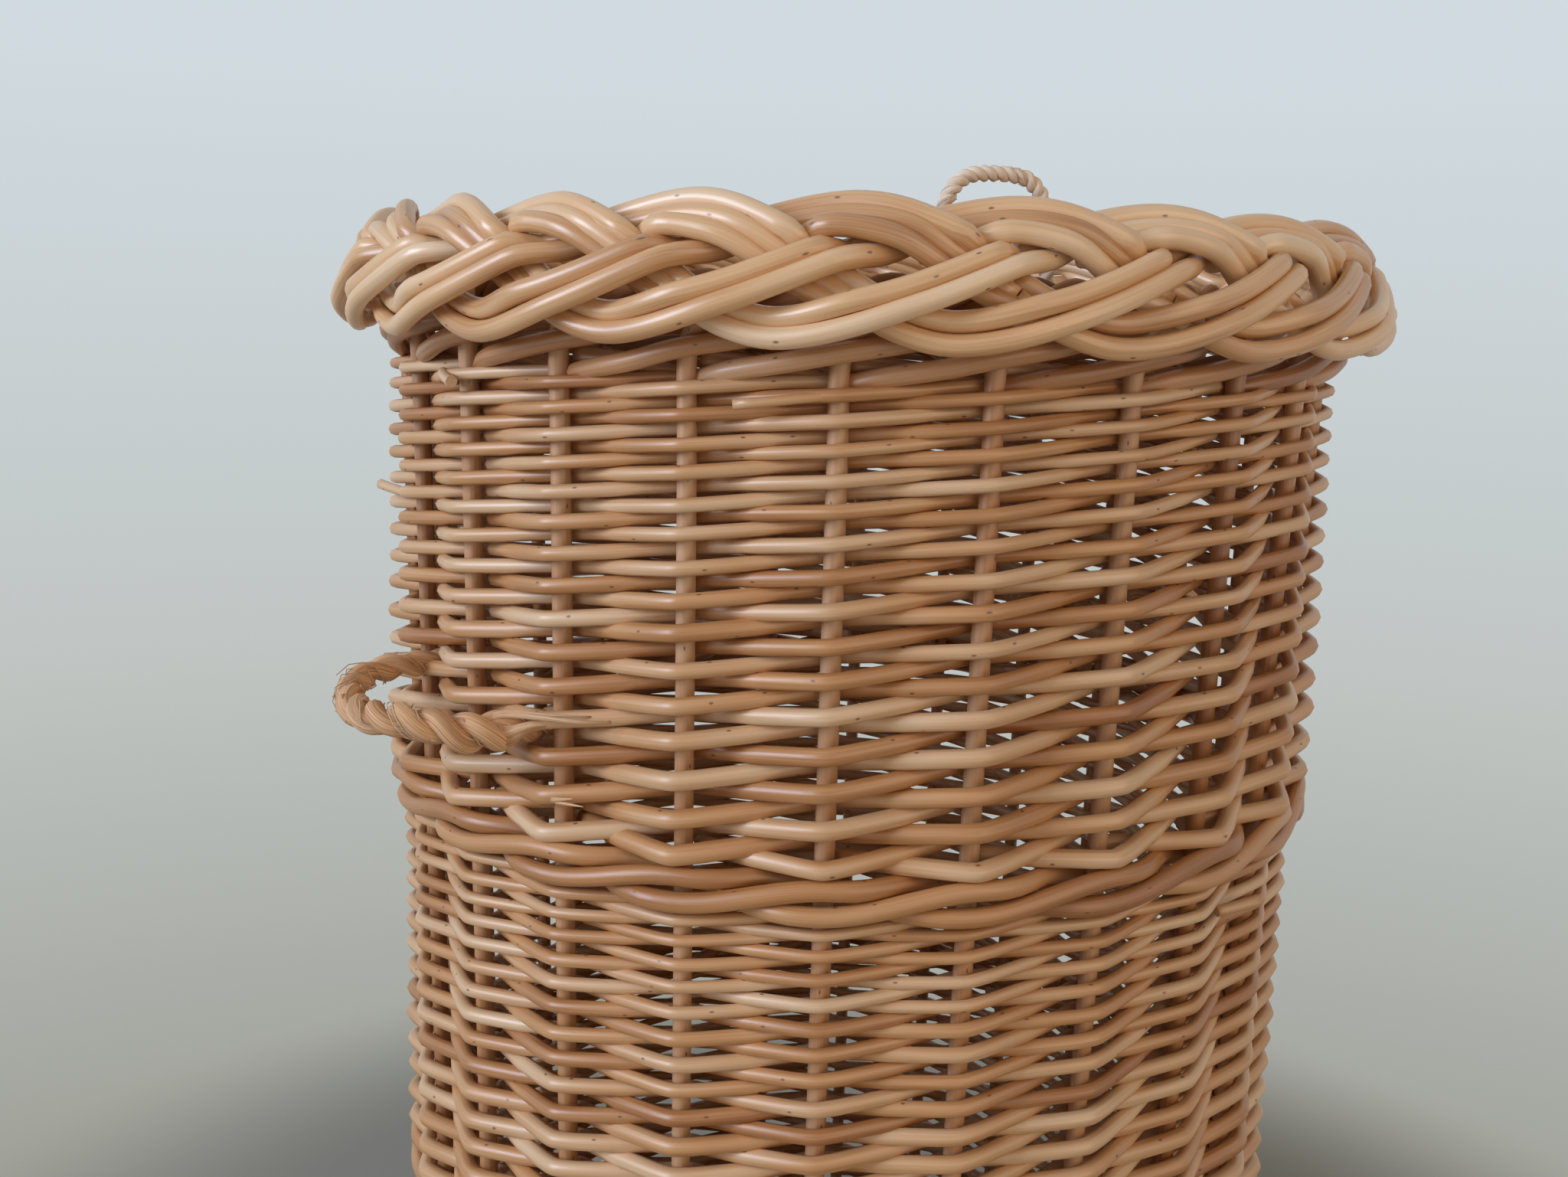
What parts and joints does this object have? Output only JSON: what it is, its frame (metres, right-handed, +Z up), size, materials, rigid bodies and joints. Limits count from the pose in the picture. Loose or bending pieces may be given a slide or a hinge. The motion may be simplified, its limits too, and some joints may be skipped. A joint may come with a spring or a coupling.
{
  "type": "lidded basket",
  "caption": "Round rattan basket with a woven wall on upright stakes, a thick plaited border, a drop-in lid with a rope loop, and rope handles on the wall.",
  "frame": {"origin": "on the floor under the middle of the basket", "axes": "+Z up along the basket's axis, -Y towards the side that faces the viewer, +X to the viewer's right"},
  "size_m": [0.4442, 0.4442, 0.622],
  "materials": {
    "stake": "natural rattan rod, satin",
    "weave": "woven natural rattan, satin",
    "wale": "heavier rattan rods, satin",
    "plait": "plaited natural rattan, satin",
    "base": "woven natural rattan, satin",
    "rope": "twisted natural fibre rope, matt"
  },
  "bodies": {
    "basket": {"stake_01": "stake", "stake_02": "stake", "stake_03": "stake", "stake_04": "stake", "stake_05": "stake", "stake_06": "stake", "stake_07": "stake", "stake_08": "stake", "stake_09": "stake", "stake_10": "stake", "stake_11": "stake", "stake_12": "stake", "stake_13": "stake", "stake_14": "stake", "stake_15": "stake", "stake_16": "stake", "stake_17": "stake", "stake_18": "stake", "stake_19": "stake", "stake_20": "stake", "stake_21": "stake", "stake_22": "stake", "stake_23": "stake", "stake_24": "stake", "weave_lower": "weave", "weave_middle": "weave", "weave_upper": "weave", "wale_lower": "wale", "wale_upper": "wale", "wale_foot": "wale", "plait_strand_1": "plait", "plait_strand_2": "plait", "plait_strand_3": "plait", "plait_strand_4": "plait", "base_under_stick_1": "base", "base_under_stick_2": "base", "base_under_stick_3": "base", "base_over_stick_1": "base", "base_over_stick_2": "base", "base_over_stick_3": "base", "base_weave": "base", "handle_left_root_a": "rope", "handle_left_root_b": "rope", "handle_right_root_a": "rope", "handle_right_root_b": "rope"},
    "lid": {"lid_under_stick_1": "stake", "lid_under_stick_2": "stake", "lid_under_stick_3": "stake", "lid_over_stick_1": "stake", "lid_over_stick_2": "stake", "lid_over_stick_3": "stake", "lid_weave": "weave", "lid_rim": "plait", "lid_loop_foot_left": "rope", "lid_loop_foot_right": "rope"},
    "lid_loop": {"lid_loop": "rope"},
    "handle_left": {"handle_left": "rope"},
    "handle_right": {"handle_right": "rope"}
  },
  "joints": [
    {"name": "lid_lift", "type": "slide", "parent": "basket", "child": "lid", "axis": [0, 0, 1], "range_m": [0, 0.2]},
    {"name": "lid_loop_fold", "type": "hinge", "parent": "lid", "child": "lid_loop", "pos_m": [0.04514, -0.14763, 0.5842], "axis": [0.9563, 0.2924, 0], "range_deg": [-85, 75], "stiffness_Nm_per_rad": 0.05},
    {"name": "handle_left_swing", "type": "hinge", "parent": "basket", "child": "handle_left", "pos_m": [-0.14926, -0.14164, 0.428], "axis": [0.6884, -0.7254, 0], "range_deg": [-80, 80], "stiffness_Nm_per_rad": 0.4},
    {"name": "handle_right_swing", "type": "hinge", "parent": "basket", "child": "handle_right", "pos_m": [0.14926, 0.14164, 0.428], "axis": [-0.6884, 0.7254, 0], "range_deg": [-80, 80], "stiffness_Nm_per_rad": 0.4}
  ]
}
